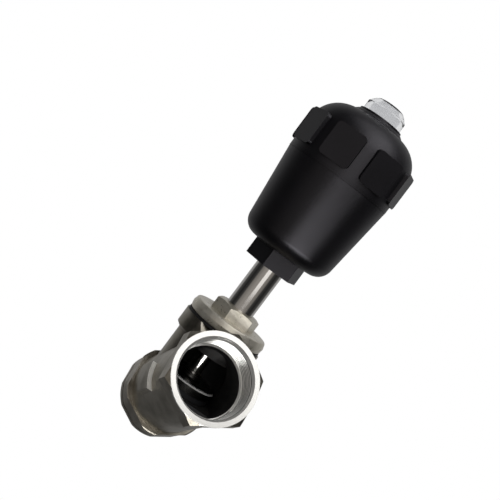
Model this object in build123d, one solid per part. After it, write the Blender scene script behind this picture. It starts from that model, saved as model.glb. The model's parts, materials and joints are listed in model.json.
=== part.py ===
from build123d import *
import os
from math import cos, pi, radians, sin, sqrt, tan

# Angle-seat valve: a cast stainless body with two threaded pipe ports in line, and a
# piston actuator on a tube that leans over the outlet.
# Millimetres. Flow runs along X. The stem axis crosses the flow axis in the XZ plane.
# Lengths along the flow axis and along the stem are measured from that crossing, and
# the finished pieces are moved so that the inlet thread starts at the origin.

# Flow axis and ports
stem_lean = 60.0
inlet_face = 41.0
outlet_face = 72.0
port_across_flats = 66.0
inlet_corner_radius = 35.6
outlet_corner_radius = 38.0
port_face_radius = 34.2
port_hex_length = 22.0
port_hex_chamfer = 30.0
port_mouth_radius = 30.4
thread_minor_radius = 28.33
mouth_depth = 3.0
inlet_thread_length = 12.0
outlet_thread_length = 16.0
run_radius = 26.5
run_outer_radius = 31.5

# Seat web between the two passages
seat_station = 1.0
seat_bore_radius = 20.0
seat_lip_width = 2.2
seat_lip_height = 1.5
web_thickness = 4.0
inlet_web_face = 24.5
outlet_web_face = 24.0
chamber_radius = 25.5

# Neck of the body
neck_top = 57.0
neck_radius = 29.7
collar_radius = 33.4
collar_length = 13.0
collar_taper = 3.0
collar_land_margin = 0.6
neck_thread_radius = 26.8
neck_thread_depth = 16.0

# Bare raised pad on each side of the body
side_pad_length = 34.0
side_pad_height = 20.0
side_pad_reach = 34.5
side_pad_centre_x = 19.0
side_pad_centre_z = -10.0
side_pad_round = 2.0

# Clearances
static_clearance = 0.05
running_clearance = 0.05
end_clearance = 0.3
seat_gap = 0.02

# Bonnet
gasket_thickness = 2.0
gasket_radius = 32.3
bonnet_disc_radius = 32.8
bonnet_disc_thickness = 9.5
bonnet_foot_radius = 31.9
bonnet_rim_radius = 31.4
bonnet_widest_lift = 5.0
bonnet_edge_round = 1.4
bonnet_hex_flats = 34.0
bonnet_hex_height = 10.0
bonnet_hex_chamfer = 1.6
bonnet_spigot_length = 15.0
bonnet_nose_length = 4.0
bonnet_nose_radius = 23.5
bonnet_bore_radius = 9.0
lower_guide_length = 12.0

# Stem tube
tube_radius = 11.6
tube_bore_radius = 9.0
tube_socket_depth = 14.0
tube_shoulder = 130.0
tube_end_radius = 10.5
tube_top = 142.0

# Spindle and packing
spindle_radius = 6.0
spindle_end_radius = 5.0
packing_start_lift = 2.0
washer_thickness = 2.0
packing_spring_length = 18.0
packing_spring_wire = 0.8
packing_spring_turns = 5
v_ring_count = 4
v_ring_height = 3.0
v_ring_drop = 1.2
gland_length = 14.0
wiper_thickness = 3.0
upper_guide_length = 12.0

# Plug
plug_radius = 23.5
plug_thickness = 7.0
plug_bevel = 1.5
plug_hub_radius = 8.5
plug_hub_height = 5.0
seal_disc_radius = 23.0
seal_disc_thickness = 4.0
clamp_washer_radius = 18.0
clamp_washer_thickness = 3.0
plug_nut_flats = 17.0
plug_nut_height = 6.5
spindle_tip = 3.0

# Actuator housing
housing_hex_flats = 40.3
housing_hex_bottom = 117.5
housing_bottom = 131.5
housing_low_wall = 3.6
housing_low_station = 146.0
housing_top_wall = 9.6
housing_floor = 4.5
housing_bottom_round = 13.0
cavity_floor_inset = 12.0
cavity_knee_inset = 2.0
cavity_knee_height = 8.0
cavity_bore_height = 14.0
cylinder_radius = 35.0
seam_station = 201.7
spigot_wall = 6.3
spigot_length = 13.0
swivel_bush_radius = 14.5
swivel_bush_length = 15.0
swivel_bush_recess = 1.0
thrust_washer_thickness = 1.2
tube_nut_radius = 16.0
tube_nut_height = 5.0
nut_bevel = 0.8
o_ring_wire = 1.2

# Piston and springs
piston_station = 157.0
piston_rim_length = 14.0
piston_web_thickness = 6.0
piston_hub_radius = 12.0
piston_hub_length = 16.0
piston_gap = 0.4
piston_rim_wall = 6.0
piston_seal_lift = 2.0
piston_seal_height = 4.0
piston_seal_depth = 3.2
lip_bevel = 0.4
piston_ring_height = 3.0
piston_ring_depth = 1.6
piston_ring_lift = 9.5
piston_washer_radius = 10.0
piston_nut_flats = 17.0
piston_nut_height = 6.0
outer_spring_inset = 10.0
outer_spring_wire = 2.2
outer_spring_turns = 5
inner_spring_inset = 18.5
inner_spring_wire = 1.5
inner_spring_turns = 6

# Cover
cover_step = 0.2
cover_wall = 4.2
inner_shoulder_inset = 3.5
inner_shoulder_rise = 9.0
cover_skirt = 25.8
cover_height = 53.6
cover_top_radius = 19.6
collar_ring_radius = 18.6
cover_shoulder_width = 22.0
cover_crown_rise = 2.6
cover_mouth_radius = 15.0
cover_floor_drop = 12.0
cover_floor_thickness = 3.5
collar_ring_height = 1.6
pad_count = 8
pad_phase = 15.5
pad_rise = 1.0
pad_width = 25.5
pad_lift = 6.3
pad_length = 27.5
pad_round = 3.5
pad_depth = 7.4
spring_plate_thickness = 2.0
spring_plate_margin = 4.0

# Indicator and dome
rod_radius = 3.0
indicator_radius = 9.0
indicator_height = 5.0
indicator_bevel = 1.0
indicator_drop = 1.5
dome_radius = 16.7
dome_wall = 2.2
dome_foot_gap = 0.5
dome_barrel = 9.0
dome_crown_height = 6.2
dome_crown_radius = 11.0
dome_bevel = 2.4

# Air ports
air_thread_radius = 4.283
air_insert_radius = 6.5
air_insert_length = 9.0
air_duct_radius = 2.5
air_boss_width = 18.0
air_boss_height = 20.0
air_angle = 171.0
control_lift = 19.0
control_boss_wall = 12.0
vent_lift = 21.5
vent_boss_rise = 5.7
air_boss_round = 3.0
air_boss_root = 6.0

# Values that follow from the sizes above
seat_top = seat_station + seat_lip_height
web_under = seat_station - web_thickness
gasket_top = neck_top + gasket_thickness
disc_top = gasket_top + bonnet_disc_thickness
hex_top = disc_top + bonnet_hex_height
spigot_end = neck_top - bonnet_spigot_length
nose_end = spigot_end - bonnet_nose_length
tube_bottom = hex_top - tube_socket_depth
packing_start = tube_bottom + packing_start_lift
spring_start = packing_start + washer_thickness
spring_end = spring_start + packing_spring_length
rings_start = spring_end + washer_thickness
rings_end = rings_start + v_ring_count * v_ring_height
gland_end = rings_end + gland_length
seal_bottom = seat_top + seat_gap
plug_bottom = seal_bottom + seal_disc_thickness
plug_top = plug_bottom + plug_thickness
hub_top = plug_top + plug_hub_height
washer_bottom = seal_bottom - clamp_washer_thickness
nut_bottom = washer_bottom - plug_nut_height
spindle_bottom = nut_bottom - spindle_tip
housing_inside = housing_bottom + housing_floor
housing_low_radius = cylinder_radius + housing_low_wall
housing_top_radius = cylinder_radius + housing_top_wall
spigot_radius = cylinder_radius + spigot_wall
cover_radius = housing_top_radius + cover_step
pad_face_distance = cover_radius + pad_rise
pad_root_distance = pad_face_distance - pad_depth
pad_bottom = seam_station + pad_lift
pad_top = pad_bottom + pad_length
cover_shoulder_station = seam_station + cover_skirt
cover_top = seam_station + cover_height
cover_floor_station = cover_top - cover_floor_drop
outer_spring_radius = cylinder_radius - outer_spring_inset
inner_spring_radius = cylinder_radius - inner_spring_inset
spring_plate_radius = outer_spring_radius + spring_plate_margin
indicator_top = cover_top - indicator_drop
dome_shoulder = cover_top + dome_barrel
dome_top = dome_shoulder + dome_crown_height
control_station = housing_bottom + control_lift
control_reach = cylinder_radius + control_boss_wall
vent_station = seam_station + vent_lift
vent_reach = cover_radius + vent_boss_rise
swivel_top = housing_hex_bottom + swivel_bush_length
web_top = piston_station + piston_web_thickness
piston_hub_top = piston_station + piston_hub_length
piston_washer_top = piston_hub_top + washer_thickness
piston_nut_top = piston_washer_top + piston_nut_height
spindle_top = piston_nut_top + spindle_tip
spring_plate_bottom = cover_floor_station - spring_plate_thickness
rod_hole_radius = rod_radius + running_clearance
piston_radius = cylinder_radius - piston_gap
indicator_bottom = indicator_top - indicator_height
dome_inner_radius = cover_mouth_radius - static_clearance - dome_wall

stem_direction = (cos(radians(stem_lean)), 0, sin(radians(stem_lean)))
forward_direction = (sin(radians(stem_lean)), 0, -cos(radians(stem_lean)))
stem = Plane(origin=(0, 0, 0), x_dir=forward_direction, z_dir=stem_direction)
to_row = Location((inlet_face - mouth_depth, 0, 0))


def turned(points):
    # A solid turned about the local Z axis from (radius, station) corners.
    corners = [(r, 0, z) for r, z in points]
    return revolve(make_face(Polyline(*corners, close=True)), axis=Axis.Z)


def washer(outer, inner, low, high):
    return turned([(inner, low), (outer, low), (outer, high), (inner, high)])


def hexagon(flats, low, high):
    # Corners lie at 30 degrees from local X, so one flat faces along local X.
    sketch = Plane.XY.offset(low) * RegularPolygon(flats / sqrt(3), 6, rotation=30)
    return extrude(sketch, amount=high - low)


def chamfered_hexagon(flats, low, high, drop):
    # The upper corners of the hexagon are turned off at a slant.
    corner = flats / sqrt(3)
    limit = turned([(0, low), (corner, low), (corner, high - drop), (corner - 2 * drop, high), (0, high)])
    return hexagon(flats, low, high) & limit


def o_ring(mean_radius, station, wire):
    # A ring cord drawn with eight flats.
    corners = [radians(22.5 + 45 * index) for index in range(8)]
    return turned([(mean_radius + wire * cos(a), station + wire * sin(a)) for a in corners])


def coil(mean_radius, wire, low, high, turns):
    # The wire's centre line keeps one wire radius clear of both seats. Its section has six flats.
    height = high - low - 2 * wire
    path = Helix(pitch=height / turns, height=height, radius=mean_radius)
    section = Plane(origin=path @ 0, z_dir=path % 0) * RegularPolygon(wire, 6)
    return Pos(0, 0, low + wire) * sweep(section, path=path, is_frenet=True)


def on_stem(shape):
    return stem.location * shape


def along_flow(points):
    # A solid turned about the flow axis from (x, radius) corners.
    corners = [(x, r) for x, r in points]
    return revolve(make_face(Polyline(*corners, close=True)), axis=Axis.X)


def above_station(station):
    # Everything on the actuator side of a plane across the stem.
    size = 400.0
    return on_stem(Pos(0, 0, station + size / 2) * Box(size, size, size))


def port_hexagon(face, inward, corner):
    # The hexagonal end of a port: flats face Y, and its corners are turned down and back.
    slope = (corner - port_face_radius) * tan(radians(port_hex_chamfer))
    back = face + inward * port_hex_length
    sketch = Plane.YZ * RegularPolygon(port_across_flats / sqrt(3), 6, rotation=90)
    prism = Pos(min(face, back), 0, 0) * extrude(sketch, amount=port_hex_length)
    limit = along_flow([
        (face, 0),
        (face, port_face_radius),
        (face + inward * slope, corner),
        (back - inward * slope / 2, corner),
        (back, corner - slope),
        (back, 0),
    ])
    return prism & limit


def port_bore(face, inward, thread_length):
    # Mouth taper, then the thread at its crest radius.
    return along_flow([
        (face, 0),
        (face, port_mouth_radius),
        (face + inward * mouth_depth, thread_minor_radius),
        (face + inward * (mouth_depth + thread_length), thread_minor_radius),
        (face + inward * (mouth_depth + thread_length), 0),
    ])


def make_valve_body():
    barrel_start = -inlet_face + port_hex_length / 2
    barrel_end = outlet_face - port_hex_length / 2
    barrel = along_flow([
        (barrel_start, 0),
        (barrel_start, run_outer_radius),
        (barrel_end, run_outer_radius),
        (barrel_end, 0),
    ])
    collar_bottom = neck_top - collar_length
    neck = on_stem(turned([
        (0, 0),
        (neck_radius, 0),
        (neck_radius, collar_bottom - collar_taper),
        (collar_radius, collar_bottom),
        (collar_radius, neck_top),
        (0, neck_top),
    ]))
    inlet_end = port_hexagon(-inlet_face, 1, inlet_corner_radius)
    outlet_end = port_hexagon(outlet_face, -1, outlet_corner_radius)
    outer = barrel + neck + inlet_end + outlet_end
    pad_block = Box(side_pad_length, 2 * side_pad_reach, side_pad_height)
    pad_block = fillet(pad_block.edges().filter_by(Axis.Y), side_pad_round)
    outer = outer + Pos(side_pad_centre_x, 0, side_pad_centre_z) * pad_block
    actuator_side = above_station(seat_station)
    upper_half = above_station(web_under)
    inlet_run = along_flow([
        (-inlet_face, 0),
        (-inlet_face, run_radius),
        (-inlet_web_face, run_radius),
        (-inlet_web_face, 0),
    ])
    under_seat = along_flow([
        (-inlet_web_face, 0),
        (-inlet_web_face, run_radius),
        (outlet_web_face - web_thickness, run_radius),
        (outlet_web_face - web_thickness, 0),
    ]) - upper_half
    outlet_run = along_flow([
        (outlet_web_face, 0),
        (outlet_web_face, run_radius),
        (outlet_face, run_radius),
        (outlet_face, 0),
    ])
    over_seat = along_flow([
        (web_thickness - inlet_web_face, 0),
        (web_thickness - inlet_web_face, run_radius),
        (outlet_web_face, run_radius),
        (outlet_web_face, 0),
    ]) & actuator_side
    chamber = on_stem(turned([
        (0, seat_station),
        (chamber_radius, seat_station),
        (chamber_radius, neck_top - neck_thread_depth),
        (neck_thread_radius, neck_top - neck_thread_depth),
        (neck_thread_radius, neck_top),
        (0, neck_top),
    ]))
    gasket_land = on_stem(washer(collar_radius + collar_land_margin, 0, neck_top, gasket_top + collar_length))
    body = outer - gasket_land - inlet_run - under_seat - outlet_run - over_seat - chamber
    body = body - port_bore(-inlet_face, 1, inlet_thread_length)
    body = body - port_bore(outlet_face, -1, outlet_thread_length)
    lip = washer(seat_bore_radius + seat_lip_width, 0, web_under, seat_top)
    seat_hole = Pos(0, 0, seat_station) * Cylinder(seat_bore_radius, 4 * web_thickness)
    return body + on_stem(lip) - on_stem(seat_hole)


def make_bonnet():
    # Disc with rounded rims, spanner hexagon and threaded spigot in one casting.
    spigot_radius_here = neck_thread_radius - static_clearance
    socket = tube_radius + static_clearance
    disc = turned([
        (0, gasket_top),
        (bonnet_foot_radius, gasket_top),
        (bonnet_disc_radius, gasket_top + bonnet_widest_lift),
        (bonnet_rim_radius, disc_top),
        (0, disc_top),
    ])
    disc = fillet(disc.edges().filter_by(GeomType.CIRCLE), bonnet_edge_round)
    hexagon_part = chamfered_hexagon(bonnet_hex_flats, gasket_top, hex_top, bonnet_hex_chamfer)
    spigot = turned([
        (0, nose_end),
        (bonnet_nose_radius, nose_end),
        (bonnet_nose_radius, spigot_end),
        (spigot_radius_here, spigot_end),
        (spigot_radius_here, gasket_top + bonnet_edge_round),
        (0, gasket_top + bonnet_edge_round),
    ])
    bore = turned([
        (0, nose_end),
        (bonnet_bore_radius, nose_end),
        (bonnet_bore_radius, nose_end + lower_guide_length),
        (spindle_radius + end_clearance, nose_end + lower_guide_length),
        (spindle_radius + end_clearance, tube_bottom),
        (socket, tube_bottom),
        (socket, hex_top),
        (0, hex_top),
    ])
    return disc + hexagon_part + spigot - bore


def make_bonnet_gasket():
    return washer(gasket_radius, neck_thread_radius + static_clearance, neck_top, gasket_top)


def make_stem_tube():
    return turned([
        (tube_bore_radius, tube_bottom),
        (tube_radius, tube_bottom),
        (tube_radius, tube_shoulder - end_clearance),
        (tube_end_radius, tube_shoulder - end_clearance),
        (tube_end_radius, tube_top),
        (tube_bore_radius, tube_top),
    ])


def make_guide(low, length):
    outer = bonnet_bore_radius - static_clearance
    return washer(outer, spindle_radius + running_clearance, low, low + length)


def packing_section():
    # Inner, middle and outer radius of what packs the gap between spindle and tube.
    inner = spindle_radius + running_clearance
    outer = tube_bore_radius - static_clearance
    return inner, (inner + outer) / 2, outer


def make_v_rings():
    # Chevron rings nest in each other: each top hollow takes the next ring's point.
    inner, middle, outer = packing_section()
    rings = []
    for index in range(v_ring_count):
        low = rings_start + index * v_ring_height
        rings.append(turned([
            (inner, low),
            (middle, low + v_ring_drop),
            (outer, low),
            (outer, low + v_ring_height - static_clearance),
            (middle, low + v_ring_height + v_ring_drop - static_clearance),
            (inner, low + v_ring_height - static_clearance),
        ]))
    return Compound(children=rings)


def make_packing_gland():
    # Guide bush above the rings: its foot is hollowed to sit on the last chevron.
    inner, middle, outer = packing_section()
    return turned([
        (inner, rings_end),
        (middle, rings_end + v_ring_drop),
        (outer, rings_end),
        (outer, gland_end),
        (inner, gland_end),
    ])


def make_packing_washers():
    # The upper washer's point enters the hollow under the first chevron.
    inner, middle, outer = packing_section()
    lower = washer(outer, inner, packing_start, spring_start)
    upper = turned([
        (inner, spring_end),
        (outer, spring_end),
        (outer, rings_start - static_clearance),
        (middle, rings_start + v_ring_drop - static_clearance),
        (inner, rings_start - static_clearance),
    ])
    return lower, upper


def make_tube_nut():
    low = housing_inside + thrust_washer_thickness + end_clearance
    body = chamfered_hexagon(2 * tube_nut_radius * cos(pi / 6), low, low + tube_nut_height, nut_bevel)
    return body - Pos(0, 0, low) * Cylinder(tube_end_radius + static_clearance, 4 * tube_nut_height)


def make_spindle():
    shoulder = plug_bottom + plug_thickness / 2
    return turned([
        (0, spindle_bottom),
        (spindle_end_radius, spindle_bottom),
        (spindle_end_radius, shoulder),
        (spindle_radius, shoulder),
        (spindle_radius, piston_station),
        (spindle_end_radius, piston_station),
        (spindle_end_radius, spindle_top),
        (0, spindle_top),
    ])


def make_plug():
    # Disc with a hub: the spindle's shoulder seats half way down its bore.
    shoulder = plug_bottom + plug_thickness / 2
    small = spindle_end_radius + static_clearance
    large = spindle_radius + static_clearance
    return turned([
        (small, plug_bottom),
        (plug_radius, plug_bottom),
        (plug_radius, plug_top - plug_bevel),
        (plug_radius - plug_bevel, plug_top),
        (plug_hub_radius + plug_bevel, plug_top),
        (plug_hub_radius, plug_top + plug_bevel),
        (plug_hub_radius, hub_top),
        (large, hub_top),
        (large, shoulder),
        (small, shoulder),
    ])


def make_piston():
    # Rim with a groove for the lip seal and one for the guide ring, web and hub.
    small = spindle_end_radius + static_clearance
    rim_inner = piston_radius - piston_rim_wall
    rim_top = piston_station + piston_rim_length
    seal_low = piston_station + piston_seal_lift
    seal_high = seal_low + piston_seal_height
    ring_low = piston_station + piston_ring_lift
    ring_high = ring_low + piston_ring_height
    return turned([
        (small, piston_station),
        (piston_radius, piston_station),
        (piston_radius, seal_low),
        (piston_radius - piston_seal_depth, seal_low),
        (piston_radius - piston_seal_depth, seal_high),
        (piston_radius, seal_high),
        (piston_radius, ring_low),
        (piston_radius - piston_ring_depth, ring_low),
        (piston_radius - piston_ring_depth, ring_high),
        (piston_radius, ring_high),
        (piston_radius, rim_top),
        (rim_inner, rim_top),
        (rim_inner, web_top),
        (piston_hub_radius, web_top),
        (piston_hub_radius, piston_hub_top),
        (small, piston_hub_top),
    ])


def make_piston_rings():
    reach = cylinder_radius - running_clearance
    seal_low = piston_station + piston_seal_lift
    seal_high = seal_low + piston_seal_height
    seal_root = piston_radius - piston_seal_depth + static_clearance
    lip = turned([
        (seal_root, seal_low),
        (piston_radius - lip_bevel / 2, seal_low),
        (reach, seal_low + lip_bevel),
        (reach, seal_low + 3 * lip_bevel),
        (piston_radius - lip_bevel, seal_high),
        (seal_root, seal_high),
    ])
    ring_low = piston_station + piston_ring_lift
    ring = washer(reach, piston_radius - piston_ring_depth + static_clearance, ring_low,
                  ring_low + piston_ring_height)
    return lip, ring


def nut(flats, thread_radius, low, height):
    body = chamfered_hexagon(flats, low, low + height, nut_bevel)
    return body - Pos(0, 0, low) * Cylinder(thread_radius + static_clearance, 4 * height)


def air_boss(station, reach, root, angle):
    # Flat-faced boss round an air port, standing out of the wall along the local X axis.
    depth = reach - root
    block = Pos(root + depth / 2, 0, station) * Box(depth, air_boss_width, air_boss_height)
    block = fillet(block.edges().filter_by(Axis.X), air_boss_round)
    return Rot(0, 0, angle) * block


def radial_cylinder(radius, start, end, station, angle):
    bar = Pos((start + end) / 2, 0, station) * Rot(0, 90, 0) * Cylinder(radius, end - start)
    return Rot(0, 0, angle) * bar


def air_insert(station, reach):
    start = reach - air_insert_length
    outer = radial_cylinder(air_insert_radius - static_clearance, start, reach, station, air_angle)
    return outer - radial_cylinder(air_thread_radius, start, reach, station, air_angle)


def make_lower_housing():
    # Moulded cup: hexagon, rounded bottom, tapered wall and threaded rim.
    rim_top = seam_station + spigot_length
    taper = (housing_top_radius - housing_low_radius) / (seam_station - housing_low_station)
    low_edge = housing_low_radius - taper * (housing_low_station - housing_bottom)
    outline = turned([
        (0, housing_bottom),
        (low_edge, housing_bottom),
        (housing_top_radius, seam_station),
        (spigot_radius, seam_station),
        (spigot_radius, rim_top),
        (0, rim_top),
    ])
    bottom_edge = outline.edges().filter_by(GeomType.CIRCLE).sort_by(Axis.Z)[0]
    outline = fillet(bottom_edge, housing_bottom_round)
    outline = outline + hexagon(housing_hex_flats, housing_hex_bottom, housing_bottom + housing_floor)
    outline = outline + air_boss(control_station, control_reach, cylinder_radius - air_boss_root, air_angle)
    cavity = turned([
        (0, housing_inside),
        (cylinder_radius - cavity_floor_inset, housing_inside),
        (cylinder_radius - cavity_knee_inset, housing_inside + cavity_knee_height),
        (cylinder_radius, housing_inside + cavity_bore_height),
        (cylinder_radius, rim_top),
        (0, rim_top),
    ])
    groove_station = seam_station + spigot_length / 2
    groove = washer(spigot_radius + o_ring_wire, spigot_radius - 2 * o_ring_wire, groove_station - o_ring_wire,
                    groove_station + o_ring_wire)
    bush_hole = Pos(0, 0, housing_bottom) * Cylinder(swivel_bush_radius, 4 * swivel_bush_length)
    pocket_start = control_reach - air_insert_length
    pocket = radial_cylinder(air_insert_radius, pocket_start, control_reach, control_station, air_angle)
    duct = radial_cylinder(air_duct_radius, cylinder_radius - air_boss_root, pocket_start, control_station, air_angle)
    return outline - cavity - groove - bush_hole - pocket - duct


def make_swivel_bush():
    # Brass bush pressed into the housing: its step rests on the tube's shoulder.
    outer = swivel_bush_radius - static_clearance
    return turned([
        (tube_radius + running_clearance, housing_hex_bottom + swivel_bush_recess),
        (outer, housing_hex_bottom + swivel_bush_recess),
        (outer, swivel_top),
        (tube_end_radius + running_clearance, swivel_top),
        (tube_end_radius + running_clearance, tube_shoulder),
        (tube_radius + running_clearance, tube_shoulder),
    ])


def cover_outline(inset):
    # Skirt, wide rounded shoulder and shallow crown, as (radius, station) points.
    side = cover_radius - inset
    top = cover_top - inset
    shoulder = cover_shoulder_station
    crown_edge = cover_radius - cover_shoulder_width - inset / 2
    return side, top, shoulder, crown_edge


def cover_solid(inset, low):
    side, top, shoulder, crown_edge = cover_outline(inset)
    crown_station = top - cover_crown_rise
    wall = Line((0, 0, low), (side, 0, low)) + Line((side, 0, low), (side, 0, shoulder))
    curve = TangentArc((side, 0, shoulder), (crown_edge, 0, crown_station), tangent=(0, 0, 1))
    crown = Line((crown_edge, 0, crown_station), (cover_top_radius, 0, top))
    lid = Line((cover_top_radius, 0, top), (0, 0, top))
    axis_line = Line((0, 0, top), (0, 0, low))
    return revolve(make_face(wall + curve + crown + lid + axis_line), axis=Axis.Z)


def make_upper_cover():
    # Screwed cap: flat pads stand out of the skirt as wrench grips.
    outer = cover_solid(0, seam_station)
    depth = pad_face_distance - pad_root_distance
    pad_height = pad_top - pad_bottom
    block = Box(depth, pad_width, pad_height)
    block = fillet(block.edges().filter_by(Axis.X), pad_round)
    pad = Pos(pad_root_distance + depth / 2, 0, (pad_bottom + pad_top) / 2) * block
    for index in range(pad_count):
        outer = outer + Rot(0, 0, pad_phase + index * 360 / pad_count) * pad
    collar_low = cover_top - collar_ring_height
    outer = outer + washer(collar_ring_radius, cover_mouth_radius, collar_low, collar_low + 2 * collar_ring_height)
    outer = outer + air_boss(vent_station, vent_reach, cover_radius - air_boss_root, air_angle)
    thread_top = seam_station + spigot_length + end_clearance
    skirt_hole = spigot_radius + static_clearance
    inner_side = cover_radius - cover_wall
    inside = turned([
        (0, seam_station),
        (skirt_hole, seam_station),
        (skirt_hole, thread_top),
        (inner_side, thread_top),
        (inner_side, cover_shoulder_station),
        (inner_side - inner_shoulder_inset, cover_shoulder_station + inner_shoulder_rise),
        (spring_plate_radius + static_clearance, cover_floor_station),
        (0, cover_floor_station),
    ])
    dome_seat = washer(cover_mouth_radius, 0, cover_floor_station + cover_floor_thickness, dome_top)
    rod_hole = washer(rod_hole_radius, 0, spring_plate_bottom, cover_top)
    pocket_start = vent_reach - air_insert_length
    pocket = radial_cylinder(air_insert_radius, pocket_start, vent_reach, vent_station, air_angle)
    duct = radial_cylinder(air_duct_radius, inner_side - air_boss_root, pocket_start, vent_station, air_angle)
    return outer - inside - dome_seat - rod_hole - pocket - duct


def make_dome():
    # Clear cap: threaded spigot, plain barrel, slanted crown and a thin wall.
    spigot = cover_mouth_radius - static_clearance
    foot = cover_floor_station + cover_floor_thickness
    seat = cover_top + collar_ring_height
    inner = dome_inner_radius
    crown = dome_top - dome_wall
    return turned([
        (inner, foot + dome_foot_gap),
        (spigot, foot + dome_foot_gap),
        (spigot, seat),
        (dome_radius, seat),
        (dome_radius, dome_shoulder),
        (dome_crown_radius + dome_bevel, dome_top - dome_bevel),
        (dome_crown_radius, dome_top - dome_bevel / 4),
        (dome_crown_radius - dome_bevel, dome_top),
        (0, dome_top),
        (0, crown),
        (dome_crown_radius - dome_bevel, crown),
        (inner, dome_shoulder),
    ])


def make_indicator():
    return turned([
        (0, indicator_bottom),
        (indicator_radius, indicator_bottom),
        (indicator_radius, indicator_top - indicator_bevel),
        (indicator_radius - indicator_bevel, indicator_top),
        (0, indicator_top),
    ])


def build_pieces():
    lower_washer, upper_washer = make_packing_washers()
    lip_seal, guide_ring = make_piston_rings()
    pieces = {
        "bonnet_gasket": make_bonnet_gasket(),
        "bonnet": make_bonnet(),
        "stem_tube": make_stem_tube(),
        "lower_guide_bush": make_guide(nose_end, lower_guide_length),
        "packing_foot_washer": lower_washer,
        "packing_spring": coil((spindle_radius + tube_bore_radius) / 2, packing_spring_wire, spring_start,
                               spring_end, packing_spring_turns),
        "packing_head_washer": upper_washer,
        "packing_rings": make_v_rings(),
        "packing_gland": make_packing_gland(),
        "spindle_wiper": washer(tube_bore_radius - static_clearance, spindle_radius + running_clearance,
                                gland_end, gland_end + wiper_thickness),
        "upper_guide_bush": make_guide(tube_top - upper_guide_length, upper_guide_length),
        "tube_nut": make_tube_nut(),
        "spindle": make_spindle(),
        "plug": make_plug(),
        "plug_seal": washer(seal_disc_radius, spindle_end_radius + static_clearance, seal_bottom, plug_bottom),
        "plug_clamp_washer": washer(clamp_washer_radius, spindle_end_radius + static_clearance, washer_bottom,
                                    seal_bottom),
        "plug_nut": nut(plug_nut_flats, spindle_end_radius, nut_bottom, plug_nut_height),
        "piston": make_piston(),
        "piston_lip_seal": lip_seal,
        "piston_guide_ring": guide_ring,
        "piston_washer": washer(piston_washer_radius, spindle_end_radius + static_clearance, piston_hub_top,
                                piston_washer_top),
        "piston_nut": nut(piston_nut_flats, spindle_end_radius, piston_washer_top, piston_nut_height),
        "indicator_rod": Pos(0, 0, (spindle_top + indicator_bottom) / 2) * Cylinder(
            rod_radius, indicator_bottom - spindle_top),
        "position_indicator": make_indicator(),
        "lower_housing": make_lower_housing(),
        "swivel_bush": make_swivel_bush(),
        "thrust_washer": washer(tube_nut_radius, tube_end_radius + running_clearance, housing_inside,
                                housing_inside + thrust_washer_thickness),
        "upper_cover": make_upper_cover(),
        "cover_o_ring": o_ring(spigot_radius - o_ring_wire, seam_station + spigot_length / 2,
                               o_ring_wire - static_clearance),
        "outer_return_spring": coil(outer_spring_radius, outer_spring_wire, web_top, spring_plate_bottom,
                                    outer_spring_turns),
        "inner_return_spring": coil(inner_spring_radius, inner_spring_wire, web_top, spring_plate_bottom,
                                    inner_spring_turns),
        "spring_plate": washer(spring_plate_radius, rod_radius + end_clearance, spring_plate_bottom,
                               cover_floor_station),
        "indicator_dome": make_dome(),
        "control_port_insert": air_insert(control_station, control_reach),
        "vent_port_insert": air_insert(vent_station, vent_reach),
    }
    placed = {name: on_stem(shape) for name, shape in pieces.items()}
    placed["valve_body"] = make_valve_body()
    return {name: to_row * shape for name, shape in placed.items()}


os.makedirs("parts", exist_ok=True)
for name, shape in build_pieces().items():
    export_step(shape, os.path.join("parts", name + ".step"))
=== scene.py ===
import json
import math

import bmesh
import bpy
from mathutils import Matrix, Vector


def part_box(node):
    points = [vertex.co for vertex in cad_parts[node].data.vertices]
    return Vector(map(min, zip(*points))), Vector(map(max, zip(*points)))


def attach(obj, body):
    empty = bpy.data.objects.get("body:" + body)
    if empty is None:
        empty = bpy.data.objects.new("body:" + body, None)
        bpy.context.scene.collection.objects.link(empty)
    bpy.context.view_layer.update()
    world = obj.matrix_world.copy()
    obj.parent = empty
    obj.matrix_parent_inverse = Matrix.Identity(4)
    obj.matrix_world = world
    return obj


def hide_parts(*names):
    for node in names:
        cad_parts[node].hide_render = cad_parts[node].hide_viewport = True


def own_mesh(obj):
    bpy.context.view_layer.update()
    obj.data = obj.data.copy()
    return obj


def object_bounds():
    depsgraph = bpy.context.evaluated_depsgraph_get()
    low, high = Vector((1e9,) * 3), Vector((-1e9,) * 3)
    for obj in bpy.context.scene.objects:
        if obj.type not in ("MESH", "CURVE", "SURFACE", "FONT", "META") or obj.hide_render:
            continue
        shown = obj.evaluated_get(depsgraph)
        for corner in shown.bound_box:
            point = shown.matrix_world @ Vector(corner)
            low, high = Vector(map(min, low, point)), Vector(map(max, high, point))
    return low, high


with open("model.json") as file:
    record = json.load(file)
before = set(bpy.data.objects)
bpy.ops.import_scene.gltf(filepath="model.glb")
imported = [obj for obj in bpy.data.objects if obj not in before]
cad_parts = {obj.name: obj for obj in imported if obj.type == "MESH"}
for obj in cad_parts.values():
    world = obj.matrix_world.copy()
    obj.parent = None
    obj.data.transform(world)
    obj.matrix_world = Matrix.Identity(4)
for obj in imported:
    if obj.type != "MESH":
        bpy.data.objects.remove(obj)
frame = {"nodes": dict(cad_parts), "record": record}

cad_low, cad_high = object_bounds()


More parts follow.
